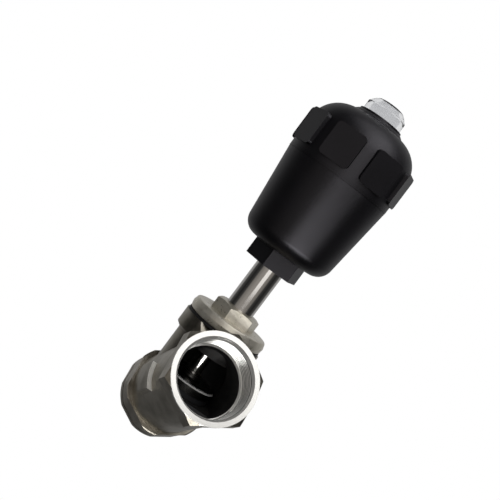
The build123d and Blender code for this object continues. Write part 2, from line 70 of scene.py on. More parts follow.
# Camera. The valve hangs on its inlet pipe, and the photograph looks up along the flow into
# the outlet port, with the stem leaning to the right. Its place is given from the point where
# the stem crosses the flow axis.
crossing = Vector((0.038, 0.0, 0.0))
camera_place = crossing + Vector((0.67678, -0.18550, -0.20388))
camera_right = Vector((0.42961, 0.78783, 0.44132))
camera_down = Vector((-0.23964, 0.57066, -0.78544))
camera_forward = Vector((-0.87064, 0.23167, 0.43396))
camera_lens = 67.25
sensor_width = 36.0
nearest_seen = 0.01
farthest_seen = 20.0
camera_data = bpy.data.cameras.new("photo_camera")
camera_data.lens = camera_lens
camera_data.sensor_width = sensor_width
camera_data.clip_start = nearest_seen
camera_data.clip_end = farthest_seen
camera = bpy.data.objects.new("photo_camera", camera_data)
camera_turn = Matrix((camera_right, -camera_down, -camera_forward)).transposed()
camera.matrix_world = Matrix.Translation(camera_place) @ camera_turn.to_4x4()
bpy.context.scene.collection.objects.link(camera)
bpy.context.scene.camera = camera


# Studio. A white backdrop behind the valve, a grey room in front of it and dark flats at the
# sides, which bright metal mirrors. Softboxes stand in the dark: a tall one along the stem for
# the black housing, a wide one below it, one that the port's face mirrors, and one overhead.
def add_node(tree, kind, **settings):
    node = tree.nodes.new(kind)
    for name, value in settings.items():
        setattr(node, name, value)
    return node


def ramp(tree, source, stops, interpolation="EASE"):
    # Colours by the source's value, each stop a place and its colour.
    node = add_node(tree, "ShaderNodeValToRGB")
    node.color_ramp.interpolation = interpolation
    elements = node.color_ramp.elements
    for stop, (place, colour) in zip((elements[0], elements[1]), (stops[0], stops[-1])):
        stop.position = place
        stop.color = (*colour, 1)
    for place, colour in stops[1:-1]:
        elements.new(place).color = (*colour, 1)
    tree.links.new(source, node.inputs["Fac"])
    return node.outputs["Color"]


def spread(tree, source, low, high, from_low=0.3, from_high=0.7):
    # The source's stretch between two values, spread over another one.
    node = add_node(tree, "ShaderNodeMapRange")
    node.inputs["From Min"].default_value = from_low
    node.inputs["From Max"].default_value = from_high
    node.inputs["To Min"].default_value = low
    node.inputs["To Max"].default_value = high
    tree.links.new(source, node.inputs["Value"])
    return node.outputs["Result"]


def dot_product(tree, vector, way):
    node = add_node(tree, "ShaderNodeVectorMath", operation="DOT_PRODUCT")
    node.inputs[1].default_value = tuple(way)
    tree.links.new(vector, node.inputs[0])
    return node.outputs["Value"]


def grey(level, warmth=0.0):
    # Red, green and blue of a grey, which warmth shifts from blue to red.
    return (level * (1 + warmth), level, level * (1 - warmth))


# What bright metal mirrors, from straight behind the valve to straight behind the camera.
room_bands = (
    (0.0, grey(0.42)), (0.24, grey(0.30)), (0.33, grey(0.06)), (0.60, grey(0.02)),
    (0.76, grey(0.04)), (0.86, grey(0.20, 0.06)), (1.0, grey(0.30, 0.06)))
low_left = (camera_down - camera_right).normalized()
flat_edge = 0.25
flat_middle = 0.7
flat_shade = 0.40
room_fill = 0.30
world = bpy.data.worlds.new("studio")
bpy.context.scene.world = world
world.use_nodes = True
sky = world.node_tree
sky.nodes.clear()
outwards = add_node(sky, "ShaderNodeTexCoord")
behind_to_front = spread(
    sky, dot_product(sky, outwards.outputs["Generated"], -camera_forward),
    low=0.0, high=1.0, from_low=-1.0, from_high=1.0)
left_flat = spread(
    sky, dot_product(sky, outwards.outputs["Generated"], low_left),
    low=1.0, high=flat_shade, from_low=flat_edge, from_high=flat_middle)
mirrored_room = add_node(sky, "ShaderNodeBackground")
sky.links.new(left_flat, mirrored_room.inputs["Strength"])
sky.links.new(ramp(sky, behind_to_front, room_bands), mirrored_room.inputs["Color"])
soft_room = add_node(sky, "ShaderNodeBackground")
soft_room.inputs["Color"].default_value = (*grey(room_fill), 1)
backdrop = add_node(sky, "ShaderNodeBackground")
backdrop.inputs["Color"].default_value = (1, 1, 1, 1)
rays = add_node(sky, "ShaderNodeLightPath")
by_gloss = add_node(sky, "ShaderNodeMixShader")
sky.links.new(rays.outputs["Is Glossy Ray"], by_gloss.inputs[0])
sky.links.new(soft_room.outputs[0], by_gloss.inputs[1])
sky.links.new(mirrored_room.outputs[0], by_gloss.inputs[2])
seen = add_node(sky, "ShaderNodeMath", operation="MAXIMUM")
sky.links.new(rays.outputs["Is Camera Ray"], seen.inputs[0])
sky.links.new(rays.outputs["Is Transmission Ray"], seen.inputs[1])
by_sight = add_node(sky, "ShaderNodeMixShader")
sky.links.new(seen.outputs[0], by_sight.inputs[0])
sky.links.new(by_gloss.outputs[0], by_sight.inputs[1])
sky.links.new(backdrop.outputs[0], by_sight.inputs[2])
sky_output = add_node(sky, "ShaderNodeOutputWorld")
sky.links.new(by_sight.outputs[0], sky_output.inputs["Surface"])
bpy.context.scene.view_settings.view_transform = "Standard"

stem_lean = math.radians(60.0)
stem_way = Vector((math.cos(stem_lean), 0.0, math.sin(stem_lean)))
stem_front = Vector((math.sin(stem_lean), 0.0, -math.cos(stem_lean)))
stem_side = Vector((0.0, 1.0, 0.0))
softbox_distance = 0.95


def softbox(name, around, raised, width, height, brightness):
    # Placed by its angle round the stem and its rise along it. Its height follows the stem.
    turned = math.radians(around)
    rise = math.radians(raised)
    level = stem_front * math.cos(turned) + stem_side * math.sin(turned)
    way = level * math.cos(rise) + stem_way * math.sin(rise)
    across = stem_way.cross(way).normalized()
    lamp = bpy.data.lights.new(name, "AREA")
    lamp.shape = "RECTANGLE"
    lamp.size = width
    lamp.size_y = height
    lamp.energy = brightness * math.pi * width * height
    stand = bpy.data.objects.new(name, lamp)
    spot = (cad_low + cad_high) / 2 + way * softbox_distance
    turn = Matrix((across, way.cross(across), way)).transposed()
    stand.matrix_world = Matrix.Translation(spot) @ turn.to_4x4()
    bpy.context.scene.collection.objects.link(stand)


softbox("key_softbox", around=-1.0, raised=16.0, width=0.50, height=0.80, brightness=0.75)
softbox("low_softbox", around=11.0, raised=-24.0, width=1.00, height=0.28, brightness=7.5)
softbox("face_softbox", around=21.0, raised=54.0, width=0.80, height=0.62, brightness=1.6)
softbox("top_softbox", around=5.0, raised=84.0, width=0.80, height=0.50, brightness=0.9)


# Floor. A plain pale studio floor, well below the valve, which hangs on its inlet pipe and
# leaves no shadow in view. It is hidden from glossy rays, so the metal doesn't mirror it.
floor_half = 3.0
floor_drop = 0.42
floor_colour = grey(0.82)
floor_seen = grey(0.86)


def start_material(name, colour, roughness, metallic):
    material = bpy.data.materials.new(name)
    material.use_nodes = True
    shader = material.node_tree.nodes["Principled BSDF"]
    shader.inputs["Base Color"].default_value = (*colour, 1)
    shader.inputs["Roughness"].default_value = roughness
    shader.inputs["Metallic"].default_value = metallic
    return material, material.node_tree, shader


floor_corners = [(x * floor_half, y * floor_half, -floor_drop)
                 for x, y in ((-1, -1), (1, -1), (1, 1), (-1, 1))]
floor_mesh = bpy.data.meshes.new("floor")
floor_mesh.from_pydata(floor_corners, [], [(0, 1, 2, 3)])
floor = bpy.data.objects.new("floor", floor_mesh)
bpy.context.scene.collection.objects.link(floor)
floor_paint, floor_tree, floor_shader = start_material(
    "pale_floor", floor_colour, roughness=0.8, metallic=0.0)
floor_mesh.materials.append(floor_paint)
floor_rays = add_node(floor_tree, "ShaderNodeLightPath")
floor_plain = add_node(floor_tree, "ShaderNodeEmission")
floor_plain.inputs["Color"].default_value = (*floor_seen, 1)
floor_by_sight = add_node(floor_tree, "ShaderNodeMixShader")
floor_tree.links.new(floor_rays.outputs["Is Camera Ray"], floor_by_sight.inputs[0])
floor_tree.links.new(floor_shader.outputs[0], floor_by_sight.inputs[1])
floor_tree.links.new(floor_plain.outputs[0], floor_by_sight.inputs[2])
floor_output = floor_tree.nodes["Material Output"]
floor_tree.links.new(floor_by_sight.outputs[0], floor_output.inputs["Surface"])
floor.visible_glossy = False


# Valve body. One stainless investment casting with a hexagon round each pipe port, blasted and
# pickled to a dull olive grey. The ports' faces, mouths and 2 inch pipe threads are turned
# bright, the threads with a painted highlight on the crests and painted shade in the grooves.
# The passages inside are painted near black as painted shade.
body_rows = frame["record"]["behaviour"]["bodies"].items()
body_of = {node: body for body, nodes in body_rows for node in nodes}
weld_distance = 0.00001
sliver_width = 0.000002


def object_place(tree, scale=(1, 1, 1), turn=(0, 0, 0)):
    # Object coordinates, turned into the piece's own directions and stretched.
    place = add_node(tree, "ShaderNodeTexCoord")
    mapping = add_node(tree, "ShaderNodeMapping", vector_type="TEXTURE")
    mapping.inputs["Scale"].default_value = scale
    mapping.inputs["Rotation"].default_value = turn
    tree.links.new(place.outputs["Object"], mapping.inputs["Vector"])
    return mapping.outputs["Vector"]


def noise(tree, place, size, detail=3.0, rough=0.55):
    # Cloudy noise with spots of about this size.
    texture = add_node(tree, "ShaderNodeTexNoise")
    texture.inputs["Scale"].default_value = 1.0 / size
    texture.inputs["Detail"].default_value = detail
    texture.inputs["Roughness"].default_value = rough
    tree.links.new(place, texture.inputs["Vector"])
    return texture.outputs["Fac"]


def bump(tree, shader, height, depth, strength=1.0, before=None):
    # Relief of this depth, over the one before it where there is one.
    node = add_node(tree, "ShaderNodeBump")
    node.inputs["Strength"].default_value = strength
    node.inputs["Distance"].default_value = depth
    tree.links.new(height, node.inputs["Height"])
    if before:
        tree.links.new(before, node.inputs["Normal"])
    tree.links.new(node.outputs["Normal"], shader.inputs["Normal"])
    return node.outputs["Normal"]


def cast_surface(name, dark, light, roughness, grain=0.0009, depth=0.00006, metallic=1.0):
    # Blasted casting: cloudy colour, a fine sandy grain and a slow waviness left by the wax.
    material, tree, shader = start_material(name, light, roughness, metallic)
    place = object_place(tree)
    clouds = noise(tree, place, size=0.014, detail=4.0, rough=0.6)
    tree.links.new(ramp(tree, clouds, ((0.30, dark), (0.70, light))), shader.inputs["Base Color"])
    mottle = noise(tree, place, size=0.0035, detail=4.0)
    worn = spread(tree, mottle, roughness - 0.07, roughness + 0.09)
    tree.links.new(worn, shader.inputs["Roughness"])
    waves = bump(tree, shader, noise(tree, place, size=0.009, detail=2.0), depth=0.00022)
    sand = noise(tree, place, grain, rough=0.65)
    bump(tree, shader, sand, depth, before=waves)
    return material


def turned_surface(name, colour, roughness, axis, metallic=1.0, by_radius=None):
    # Lathe-turned metal: fine rings about its axis, which runs through the crossing. Its colour
    # can change with the distance from the axis.
    material, tree, shader = start_material(name, colour, roughness, metallic)
    place = add_node(tree, "ShaderNodeTexCoord")
    centred = add_node(tree, "ShaderNodeVectorMath", operation="SUBTRACT")
    centred.inputs[1].default_value = tuple(crossing)
    tree.links.new(place.outputs["Object"], centred.inputs[0])
    off_axis = add_node(tree, "ShaderNodeVectorMath", operation="CROSS_PRODUCT")
    off_axis.inputs[1].default_value = tuple(axis)
    tree.links.new(centred.outputs["Vector"], off_axis.inputs[0])
    radius = add_node(tree, "ShaderNodeVectorMath", operation="LENGTH")
    tree.links.new(off_axis.outputs["Vector"], radius.inputs[0])
    along = dot_product(tree, centred.outputs["Vector"], axis)
    ring_place = add_node(tree, "ShaderNodeCombineXYZ")
    tree.links.new(radius.outputs["Value"], ring_place.inputs["X"])
    tree.links.new(along, ring_place.inputs["Y"])
    rings = noise(tree, ring_place.outputs["Vector"], size=0.00035, detail=2.0, rough=0.7)
    tree.links.new(spread(tree, rings, roughness * 0.75, roughness * 1.3), shader.inputs["Roughness"])
    bump(tree, shader, rings, depth=0.000006, strength=0.8)
    if by_radius:
        near, far, stops = by_radius
        reach = spread(tree, radius.outputs["Value"], low=0.0, high=1.0, from_low=near, from_high=far)
        tree.links.new(ramp(tree, reach, stops, "LINEAR"), shader.inputs["Base Color"])
    return material


def merged_mesh(node, crease):
    # A node's own mesh with its triangles joined, shaded smooth up to the crease angle.
    mesh = frame["nodes"][node].data.copy()
    mesh.materials.clear()
    work = bmesh.new()
    work.from_mesh(mesh)
    bmesh.ops.remove_doubles(work, verts=work.verts, dist=weld_distance)
    for face in work.faces:
        face.smooth = True
        face.material_index = 0
    work.to_mesh(mesh)
    work.free()
    if "custom_normal" in mesh.attributes:
        mesh.attributes.remove(mesh.attributes["custom_normal"])
    mesh.set_sharp_from_angle(angle=math.radians(crease))
    return mesh


def add_piece(name, mesh, node, *materials):
    # The finished piece stands for its node and rides on the same body.
    mesh.name = name
    for material in materials:
        mesh.materials.append(material)
    piece = bpy.data.objects.new(name, mesh)
    bpy.context.scene.collection.objects.link(piece)
    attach(piece, body_of[node])
    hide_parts(node)
    return piece


def set_input(modifier, label, value):
    for socket in modifier.node_group.interface.items_tree:
        if socket.name == label and socket.in_out == "INPUT":
            modifier[socket.identifier] = value


def finished_mesh(carrier):
    # What the carrier's modifiers make of it, as a plain mesh.
    bpy.context.view_layer.update()
    graph = bpy.context.evaluated_depsgraph_get()
    return bpy.data.meshes.new_from_object(carrier.evaluated_get(graph))


def grown_mesh(name, mesh, tree, values):
    # The tree's result as a plain mesh: the carrier and its modifier are taken away again.
    carrier = bpy.data.objects.new(name, mesh)
    bpy.context.scene.collection.objects.link(carrier)
    modifier = carrier.modifiers.new(name, "NODES")
    modifier.node_group = tree
    for label, value in values.items():
        set_input(modifier, label, value)
    result = finished_mesh(carrier)
    bpy.data.objects.remove(carrier)
    return result


def tree_with(name, inputs):
    # A Geometry Nodes tree with its named sizes, an input node and an output node.
    tree = bpy.data.node_groups.new(name, "GeometryNodeTree")
    tree.is_modifier = True
    tree.interface.new_socket("Geometry", in_out="INPUT", socket_type="NodeSocketGeometry")
    for label, kind in inputs:
        tree.interface.new_socket(label, in_out="INPUT", socket_type=kind)
    tree.interface.new_socket("Geometry", in_out="OUTPUT", socket_type="NodeSocketGeometry")
    return tree, add_node(tree, "NodeGroupInput"), add_node(tree, "NodeGroupOutput")


def helix_curve(tree, given, radius, length, steps):
    # A helix along Z with the tree's own number of turns.
    helix = add_node(tree, "GeometryNodeCurveSpiral")
    helix.inputs["Resolution"].default_value = steps
    tree.links.new(given.outputs["Turns"], helix.inputs["Rotations"])
    tree.links.new(radius, helix.inputs["Start Radius"])
    tree.links.new(radius, helix.inputs["End Radius"])
    tree.links.new(length, helix.inputs["Height"])
    return helix.outputs["Curve"]


def swept_mesh(tree, curve, outline):
    # The outline drawn along the curve, closed at both ends.
    sweep = add_node(tree, "GeometryNodeCurveToMesh")
    sweep.inputs["Fill Caps"].default_value = True
    tree.links.new(curve, sweep.inputs["Curve"])
    tree.links.new(outline, sweep.inputs["Profile Curve"])
    return sweep.outputs["Mesh"]


def close_tree(tree, geometry, material, out):
    # The tree's end: real geometry in its material.
    real = add_node(tree, "GeometryNodeRealizeInstances")
    tree.links.new(geometry, real.inputs["Geometry"])
    coat = add_node(tree, "GeometryNodeSetMaterial")
    coat.inputs["Material"].default_value = material
    tree.links.new(real.outputs["Geometry"], coat.inputs["Geometry"])
    tree.links.new(coat.outputs["Geometry"], out.inputs["Geometry"])


number = "NodeSocketFloat"
port_face_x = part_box("valve_body")[1].x
inlet_face_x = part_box("valve_body")[0].x
thread_crest = 0.02833
thread_pitch = 0.002309
thread_depth = 0.00132
thread_groove = 0.0020
outlet_thread_turns = 7.2
inlet_thread_turns = 5.4
thread_runout = 1.5
thread_steps = 72


def thread_tree():
    # A V groove wound along the port's wall is cut out of the casting.
    tree, given, out = tree_with("port_thread", (
        ("Crest Radius", number), ("Pitch", number), ("Turns", number), ("Depth", number),
        ("Half Groove", number), ("Start", number), ("Flip", number)))
    length = add_node(tree, "ShaderNodeMath", operation="MULTIPLY")
    tree.links.new(given.outputs["Pitch"], length.inputs[0])
    tree.links.new(given.outputs["Turns"], length.inputs[1])
    helix = helix_curve(tree, given, given.outputs["Crest Radius"], length.outputs[0], thread_steps)
    upright = add_node(tree, "GeometryNodeSetCurveNormal")
    upright.mode = "Z_UP"
    tree.links.new(helix, upright.inputs["Curve"])
    # The groove's outline is a kite, as deep outside the crest line as it stands inside it.
    groove = add_node(tree, "GeometryNodeCurvePrimitiveQuadrilateral", mode="KITE")
    twice = add_node(tree, "ShaderNodeMath", operation="MULTIPLY")
    twice.inputs[1].default_value = 2.0
    tree.links.new(given.outputs["Depth"], twice.inputs[0])
    tree.links.new(twice.outputs[0], groove.inputs["Width"])
    tree.links.new(given.outputs["Half Groove"], groove.inputs["Bottom Height"])
    tree.links.new(given.outputs["Half Groove"], groove.inputs["Top Height"])
    cutter = swept_mesh(tree, upright.outputs["Curve"], groove.outputs["Curve"])
    place = add_node(tree, "ShaderNodeCombineXYZ")
    tree.links.new(given.outputs["Start"], place.inputs["X"])
    turn = add_node(tree, "ShaderNodeCombineXYZ")
    tree.links.new(given.outputs["Flip"], turn.inputs["Y"])
    set_in_port = add_node(tree, "GeometryNodeTransform")
    tree.links.new(cutter, set_in_port.inputs["Geometry"])
    tree.links.new(place.outputs["Vector"], set_in_port.inputs["Translation"])
    tree.links.new(turn.outputs["Vector"], set_in_port.inputs["Rotation"])
    cut = add_node(tree, "GeometryNodeMeshBoolean", operation="DIFFERENCE", solver="MANIFOLD")
    tree.links.new(given.outputs["Geometry"], cut.inputs["Mesh 1"])
    tree.links.new(set_in_port.outputs["Geometry"], cut.inputs["Mesh 2"])
    close_tree(tree, cut.outputs["Mesh"], cast_steel, out)
    return tree


# Painted highlight on the crests and painted shade in the grooves, over the depth of the thread.
thread_shades = (
    (0.0, (0.95, 0.94, 0.90)), (0.24, (0.88, 0.87, 0.83)),
    (0.36, (0.03, 0.03, 0.03)), (1.0, (0.01, 0.01, 0.01)))
flow_way = (1, 0, 0)
cast_steel = cast_surface(
    "cast_steel", dark=(0.27, 0.25, 0.205), light=(0.45, 0.42, 0.365), roughness=0.36)
# The thread's colour is painted light: pale crests as a painted highlight, near black grooves as
# painted shade.
thread_steel = turned_surface(
    "thread_steel", (0.70, 0.69, 0.66), roughness=0.30, axis=flow_way, metallic=0.55,
    by_radius=(thread_crest, thread_crest + thread_depth, thread_shades))
# Painted highlight: the near pad's front face is coloured near white, to stand bright where the
# hexagon blocks the lamps.
ground_edge = turned_surface(
    "ground_edge", (0.96, 0.94, 0.88), roughness=0.30, axis=flow_way, metallic=0.2)
# Painted shade: the passages inside the body and neck are coloured near black for the shade in them.
cast_inside = cast_surface(
    "cast_inside", dark=(0.045, 0.045, 0.046), light=(0.080, 0.078, 0.075), roughness=0.60,
    metallic=0.6)
port_steel = turned_surface(
    "port_steel", (0.84, 0.825, 0.79), roughness=0.22, axis=flow_way, metallic=0.65)
port_tree = thread_tree()
body_crease = 24.0
body_mesh = merged_mesh("valve_body", body_crease)


def ring_block(start, stop, inner, outer, first=0.0, last=360.0, steps=96):
    # A ring about the flow axis, or a sector of one, as a closed block for cutting or adding. Its
    # angles start at the far side and pass the top at 90 degrees.
    whole = last - first > 359.9
    count = steps if whole else steps + 1
    corners = []
    for step in range(count):
        angle = math.radians(first + (last - first) * step / steps)
        for x, radius in ((start, inner), (start, outer), (stop, outer), (stop, inner)):
            corners.append((x, radius * math.cos(angle), radius * math.sin(angle)))
    sides = []
    for step in range(steps):
        here = 4 * step
        there = 4 * ((step + 1) % count)
        for corner in range(4):
            after = (corner + 1) % 4
            sides.append((here + corner, here + after, there + after, there + corner))
    if not whole:
        end = 4 * steps
        sides.append((3, 2, 1, 0))
        sides.append((end, end + 1, end + 2, end + 3))
    block = bpy.data.meshes.new("ring_block")
    block.from_pydata(corners, [], sides)
    work = bmesh.new()
    work.from_mesh(block)
    bmesh.ops.recalc_face_normals(work, faces=work.faces)
    work.to_mesh(block)
    work.free()
    return block


def shaped_mesh(mesh, blocks):
    # The mesh after each block has been cut away or joined on.
    carrier = bpy.data.objects.new("shaped", mesh)
    bpy.context.scene.collection.objects.link(carrier)
    helpers = []
    for block, operation in blocks:
        helper = bpy.data.objects.new("shaping_block", block)
        bpy.context.scene.collection.objects.link(helper)
        helpers.append(helper)
        modifier = carrier.modifiers.new("shaping", "BOOLEAN")
        modifier.operation = operation
        modifier.solver = "MANIFOLD"
        modifier.object = helper
    result = finished_mesh(carrier)
    for spent in [carrier] + helpers:
        bpy.data.objects.remove(spent)
    result.materials.clear()
    return result


# The outlet's hexagon is short, with a round face before it. The inlet's has its corners turned
# down and a groove. One thin pad follows the wall on the near side, and none on the far side.
beyond_body = 0.050
outlet_wall_start = 0.0865
outlet_hexagon_start = 0.0955
outlet_wall_radius = 0.0319
pads_start = 0.0380
pads_stop = 0.0760
far_wall_radius = 0.0316
near_wall_radius = 0.03152
pad_start_x = 0.0402
pad_front_x = 0.0630
pad_setback = 0.0001
pad_root = 0.0300
pad_radius = 0.0350
skimmed_pad_radius = 0.0347
corner_start = -0.004
corner_stop = 0.0160
corner_radius = 0.0341
groove_start = 0.0020
groove_stop = 0.0034
groove_radius = 0.0318
face_ring_depth = 0.0018
face_ring_inset = 0.00001
face_ring_inner = 0.0308
face_ring_outer = 0.0343
hexagon_rear_cut = ring_block(outlet_wall_start, outlet_hexagon_start, outlet_wall_radius, beyond_body)
far_pad_cut = ring_block(
    pads_start, pads_stop, far_wall_radius, beyond_body, first=-50.0, last=12.0)
pad_skim = ring_block(
    pads_start, pads_stop, skimmed_pad_radius, beyond_body, first=177.5, last=226.0)
pad_end_cut = ring_block(
    pad_front_x, pads_stop, near_wall_radius, beyond_body, first=176.0, last=230.0)
near_pad = ring_block(
    pad_start_x, pad_front_x - pad_setback, pad_root, pad_radius, first=180.0, last=214.0)
corner_cut = ring_block(corner_start, corner_stop, corner_radius, beyond_body)
groove_cut = ring_block(groove_start, groove_stop, groove_radius, beyond_body)
face_ring = ring_block(
    port_face_x - face_ring_depth, port_face_x - face_ring_inset, face_ring_inner, face_ring_outer)
body_mesh = shaped_mesh(body_mesh, (
    (hexagon_rear_cut, "DIFFERENCE"), (far_pad_cut, "DIFFERENCE"), (pad_skim, "DIFFERENCE"),
    (pad_end_cut, "DIFFERENCE"), (near_pad, "UNION"), (corner_cut, "DIFFERENCE"),
    (groove_cut, "DIFFERENCE"), (face_ring, "UNION")))
outlet_thread = (port_face_x + thread_pitch / 2, -math.pi / 2, outlet_thread_turns + thread_runout)
inlet_thread = (inlet_face_x - thread_pitch / 2, math.pi / 2, inlet_thread_turns + thread_runout)
for start, flip, turns in (outlet_thread, inlet_thread):
    body_mesh = grown_mesh("valve_body_casting", body_mesh, port_tree, {
        "Crest Radius": thread_crest, "Pitch": thread_pitch, "Turns": turns, "Depth": thread_depth,
        "Half Groove": thread_groove / 2, "Start": start, "Flip": flip})


def off_stem(place):
    # Distance of a place from the stem's axis.
    return (place - crossing).cross(stem_way).length


def up_stem(place):
    # Station of a place along the stem, from the crossing.
    return (place - crossing).dot(stem_way)


def without_slivers(mesh):
    # Corners that a cut leaves closer than the width of a sliver are joined.
    work = bmesh.new()
    work.from_mesh(mesh)
    bmesh.ops.remove_doubles(work, verts=work.verts, dist=sliver_width)
    bmesh.ops.dissolve_degenerate(work, edges=work.edges, dist=sliver_width)
    work.to_mesh(mesh)
    work.free()


body_finishes = (cast_steel, port_steel, cast_inside, thread_steel, ground_edge)
mouth_depth = 0.003
mouth_radius = 0.0304
face_radius = 0.0345
face_edge_depth = 0.0019
run_wall_radius = 0.0268
neck_wall_radius = 0.0272
face_slack = 0.0001
pad_front_slack = 0.0003
pad_side = -0.020
square_on = 0.999
nearly_square_on = 0.9
slanting = 0.3


def body_finish(face):
    # Which finish a face of the casting has, by its place and the way it faces.
    from_axis = math.hypot(face.center.y, face.center.z)
    along_flow = abs(face.normal.x)
    to_outlet = port_face_x - face.center.x
    to_inlet = face.center.x - inlet_face_x
    outlet_turned = to_outlet < mouth_depth + outlet_thread_turns * thread_pitch
    inlet_turned = to_inlet < mouth_depth + inlet_thread_turns * thread_pitch
    port_face = along_flow > square_on and min(to_outlet, to_inlet) < face_slack
    face_edge = to_outlet < face_edge_depth and from_axis < face_radius
    pad_front = abs(face.center.x - pad_front_x) < pad_front_slack and face.center.y < pad_side
    # The near pad's front face takes the painted highlight.
    if pad_front and face.normal.x > nearly_square_on:
        return ground_edge
    if port_face or face_edge:
        return port_steel
    if from_axis < mouth_radius and (outlet_turned or inlet_turned):
        in_mouth = min(to_outlet, to_inlet) < mouth_depth
        chamfer = in_mouth and from_axis > thread_crest + face_slack and along_flow > slanting
        return port_steel if chamfer else thread_steel
    # Faces in the runs and the neck take the painted shade of the passages.
    inside_neck = off_stem(face.center) < neck_wall_radius and up_stem(face.center) > 0.0
    return cast_inside if from_axis < run_wall_radius or inside_neck else cast_steel


without_slivers(body_mesh)
body_mesh.materials.clear()
for face in body_mesh.polygons:
    face.material_index = body_finishes.index(body_finish(face))
body_mesh.set_sharp_from_angle(angle=math.radians(body_crease))
add_piece("valve_body_casting", body_mesh, "valve_body", *body_finishes)


# Bonnet. A second casting screwed into the neck on a graphite ring: a thick disc with broken
# edges, and a hexagon for the spanner. Its colour is the casting's olive, painted much brighter
# than the body's as painted light.
# Painted light: the bonnet's olive is painted brighter than the body's same casting.
bonnet_cast = cast_surface(
    "bonnet_cast", dark=(0.62, 0.58, 0.48), light=(0.80, 0.76, 0.67), roughness=0.32,
    grain=0.0007, depth=0.00004, metallic=0.7)
neck_top = 0.057
inside_neck = neck_top - 0.001
bonnet_mesh = merged_mesh("bonnet", crease=32.0)
# Faces of the bonnet below the neck's top take the painted shade of the passages.
for face in bonnet_mesh.polygons:
    face.material_index = int(up_stem(face.center) < inside_neck)
add_piece("bonnet_casting", bonnet_mesh, "bonnet", bonnet_cast, cast_inside)


def finish_node(node, material):
    # A node whose shape is right stays, and takes its finish in its own material slots.
    slots = frame["nodes"][node].data.materials
    slots.clear()
    slots.append(material)


graphite, graphite_tree, graphite_shader = start_material(
    "pressed_graphite", (0.012, 0.012, 0.013), roughness=0.55, metallic=0.0)
flakes = noise(graphite_tree, object_place(graphite_tree), size=0.0008)
flake_shine = spread(graphite_tree, flakes, low=0.42, high=0.66)
graphite_tree.links.new(flake_shine, graphite_shader.inputs["Roughness"])
bump(graphite_tree, graphite_shader, flakes, depth=0.00004)
finish_node("bonnet_gasket", graphite)


# Stem tube, spindle and indicator rod. Drawn stainless, ground and polished along its length,
# so that it mirrors the room as straight lines.
scratch_stretch = 50
turned_crease = 30.0


def ground_surface(name, colour, roughness):
    # Polished lengthwise: the scratches are long along the stem and fine round it.
    material, tree, shader = start_material(name, colour, roughness, metallic=1.0)
    along_stem = (0, math.pi / 2 - stem_lean, 0)
    place = object_place(tree, (1, 1, scratch_stretch), along_stem)
    scratches = noise(tree, place, size=0.0004, rough=0.6)
    streaks = spread(tree, scratches, roughness * 0.8, roughness * 1.35)
    tree.links.new(streaks, shader.inputs["Roughness"])
    bump(tree, shader, scratches, depth=0.000004, strength=0.7)
    return material


ground_steel = ground_surface("ground_steel", (0.74, 0.72, 0.69), roughness=0.10)
for rod in ("stem_tube", "spindle", "indicator_rod"):
    add_piece("polished_" + rod, merged_mesh(rod, turned_crease), rod, ground_steel)


# Plug and packing. A turned disc on the spindle's end, with a dark filled sealing disc under it
# that a washer and nut hold. White rings and a rubber wiper seal the spindle in the tube, and
# more washers and nuts of the same turned steel stand above them.
turned_steel = turned_surface("turned_steel", (0.62, 0.61, 0.59), roughness=0.24, axis=stem_way)
# The plug is painted dark as painted shade, for the dark inside the body; its rim is painted near
# white as a painted highlight.
plug_steel = turned_surface("plug_steel", (0.16, 0.157, 0.15), roughness=0.26, axis=stem_way)
rim_steel = turned_surface(
    "rim_steel", (0.95, 0.94, 0.92), roughness=0.20, axis=stem_way, metallic=0.3)
plug_mesh = merged_mesh("plug", turned_crease)
plug_radius = max(off_stem(vertex.co) for vertex in plug_mesh.vertices)
rim_inner = plug_radius - 0.0012
rim_outer = plug_radius - 0.00015
# A narrow band just inside the plug's outer radius takes the painted highlight.
for face in plug_mesh.polygons:
    face.material_index = int(rim_inner < off_stem(face.center) < rim_outer)
add_piece("turned_plug", plug_mesh, "plug", plug_steel, rim_steel)
for washer in ("plug_clamp_washer", "plug_nut", "packing_foot_washer", "packing_head_washer",
               "piston_washer", "piston_nut", "tube_nut", "spring_plate"):
    finish_node(washer, turned_steel)


def moulded_surface(name, colour, roughness, grain, depth, variation=0.08):
    # Moulded plastic or rubber: an even colour with the mould's fine texture.
    material, tree, shader = start_material(name, colour, roughness, metallic=0.0)
    place = object_place(tree)
    shade = noise(tree, place, size=0.02)
    dark = tuple(part * (1 - variation) for part in colour)
    pale = tuple(part * (1 + variation) for part in colour)
    tree.links.new(ramp(tree, shade, ((0.3, dark), (0.7, pale))), shader.inputs["Base Color"])
    texture = noise(tree, place, grain, detail=2.0, rough=0.7)
    sheen = spread(tree, texture, roughness - 0.05, roughness + 0.06)
    tree.links.new(sheen, shader.inputs["Roughness"])
    bump(tree, shader, texture, depth)
    return material


white_ptfe = moulded_surface(
    "white_ptfe", (0.80, 0.80, 0.78), roughness=0.42, grain=0.0012, depth=0.00002)
black_rubber = moulded_surface(
    "black_rubber", (0.020, 0.020, 0.020), roughness=0.60, grain=0.0006, depth=0.00003)
filled_ptfe = moulded_surface(
    "filled_ptfe", (0.030, 0.030, 0.032), roughness=0.45, grain=0.0012, depth=0.00002)
finish_node("plug_seal", filled_ptfe)
for ring in ("packing_rings", "piston_guide_ring", "thrust_washer"):
    finish_node(ring, white_ptfe)
for ring in ("spindle_wiper", "cover_o_ring", "piston_lip_seal"):
    finish_node(ring, black_rubber)


# Bearings and air ports. Bronze bushes and the packing's bronze gland guide the spindle. Turned
# brass inserts carry the small threads of the air ports, and a brass bush carries the housing.
bronze = turned_surface("bearing_bronze", (0.42, 0.27, 0.13), roughness=0.34, axis=stem_way)
brass = turned_surface("turned_brass", (0.62, 0.46, 0.22), roughness=0.22, axis=stem_way)
for bush in ("lower_guide_bush", "upper_guide_bush", "packing_gland"):
    finish_node(bush, bronze)
for insert in ("swivel_bush", "control_port_insert", "vent_port_insert"):
    finish_node(insert, brass)


